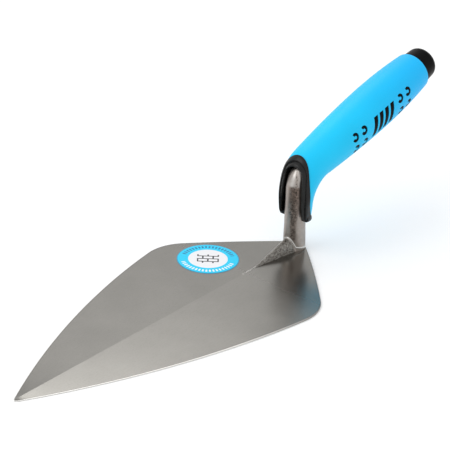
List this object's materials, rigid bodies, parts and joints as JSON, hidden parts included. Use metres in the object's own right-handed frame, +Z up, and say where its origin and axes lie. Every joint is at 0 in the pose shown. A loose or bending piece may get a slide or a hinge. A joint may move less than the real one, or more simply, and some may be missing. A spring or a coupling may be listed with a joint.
{
  "type": "brick trowel",
  "caption": "Brick trowel: broad-heeled pointed steel blade for spreading mortar, cranked forged shank and soft moulded grip with a finger guard.",
  "frame": {"origin": "on the flat underside of the blade, on its middle line, straight below the crossing of the post's axis and the grip's axis", "axes": "+X towards the toe, +Y to the trowel's left, +Z up out of the blade's top"},
  "size_m": [0.4265, 0.1384, 0.1121],
  "materials": {
    "ground_steel": "ground carbon steel, semi-gloss, fine grind marks",
    "forged_steel": "rough forged steel, pitted, rubbed bright on the bend",
    "core_black": "hard moulded plastic",
    "grip_blue": "soft moulded rubber, satin",
    "trim_black": "moulded black rubber, satin",
    "inlay_black": "moulded black inlay, matt",
    "label_film": "printed film, gloss"
  },
  "bodies": {
    "root": {"blade": "ground_steel", "shank": "forged_steel", "handle_core": "core_black", "grip_sleeve": "grip_blue", "nose_collar": "trim_black", "end_cap": "trim_black", "ring_inlays_front_left": "inlay_black", "ring_inlays_rear_left": "inlay_black", "ring_inlays_front_right": "inlay_black", "ring_inlays_rear_right": "inlay_black", "bar_inlays_left": "inlay_black", "bar_inlays_right": "inlay_black", "label": "label_film"}
  },
  "joints": []
}
